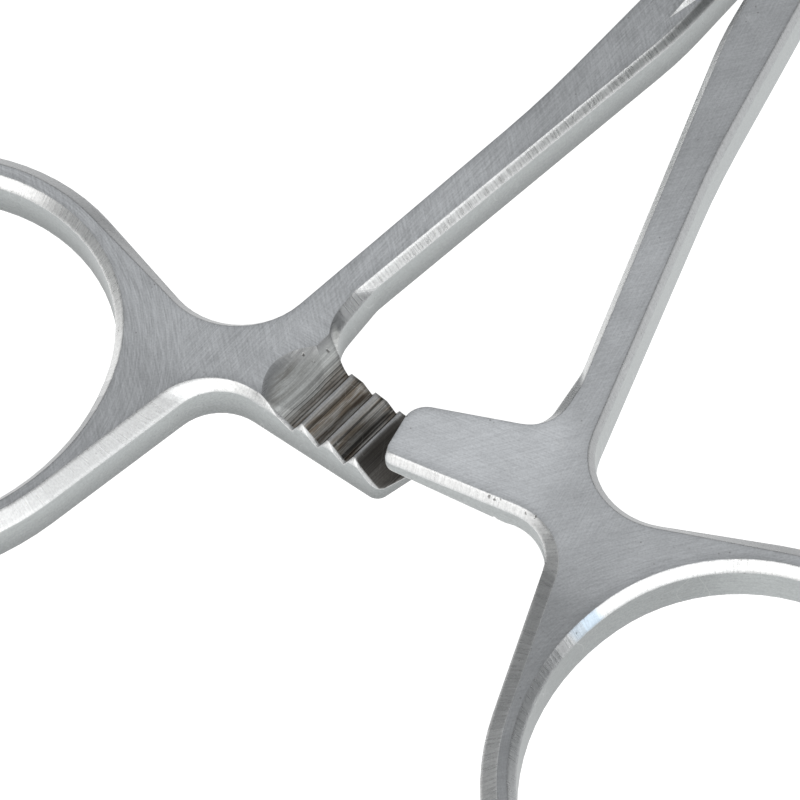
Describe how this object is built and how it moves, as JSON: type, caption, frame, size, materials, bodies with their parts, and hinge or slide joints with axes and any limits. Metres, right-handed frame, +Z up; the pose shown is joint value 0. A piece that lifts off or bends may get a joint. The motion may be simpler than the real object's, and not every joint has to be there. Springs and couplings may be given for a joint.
{
  "type": "towel clamp",
  "caption": "Ring-handled locking clamp with a box lock, curved pointed jaws and a toothed ratchet arm on each handle.",
  "frame": {"origin": "centre of the bounding box at the level of the table", "axes": "+Y along the clamp towards the jaws, +X towards the upper handle, +Z up from the table"},
  "size_m": [0.0756, 0.0884, 0.0052],
  "materials": {
    "forged_steel": "satin ground faces with brighter, cross-ground bevels and worn, stained ratchet teeth",
    "pin_steel": "pin ends ground flush with the lock"
  },
  "bodies": {
    "box_side": {"box_half": "forged_steel", "pivot_pin": "pin_steel"},
    "tongue_side": {"tongue_half": "forged_steel"}
  },
  "joints": [
    {"name": "pivot", "type": "hinge", "parent": "box_side", "child": "tongue_side", "pos_m": [0, 0.0197, 0.0026], "axis": [0, 0, -1], "range_deg": [-11.1, 44.9]}
  ]
}
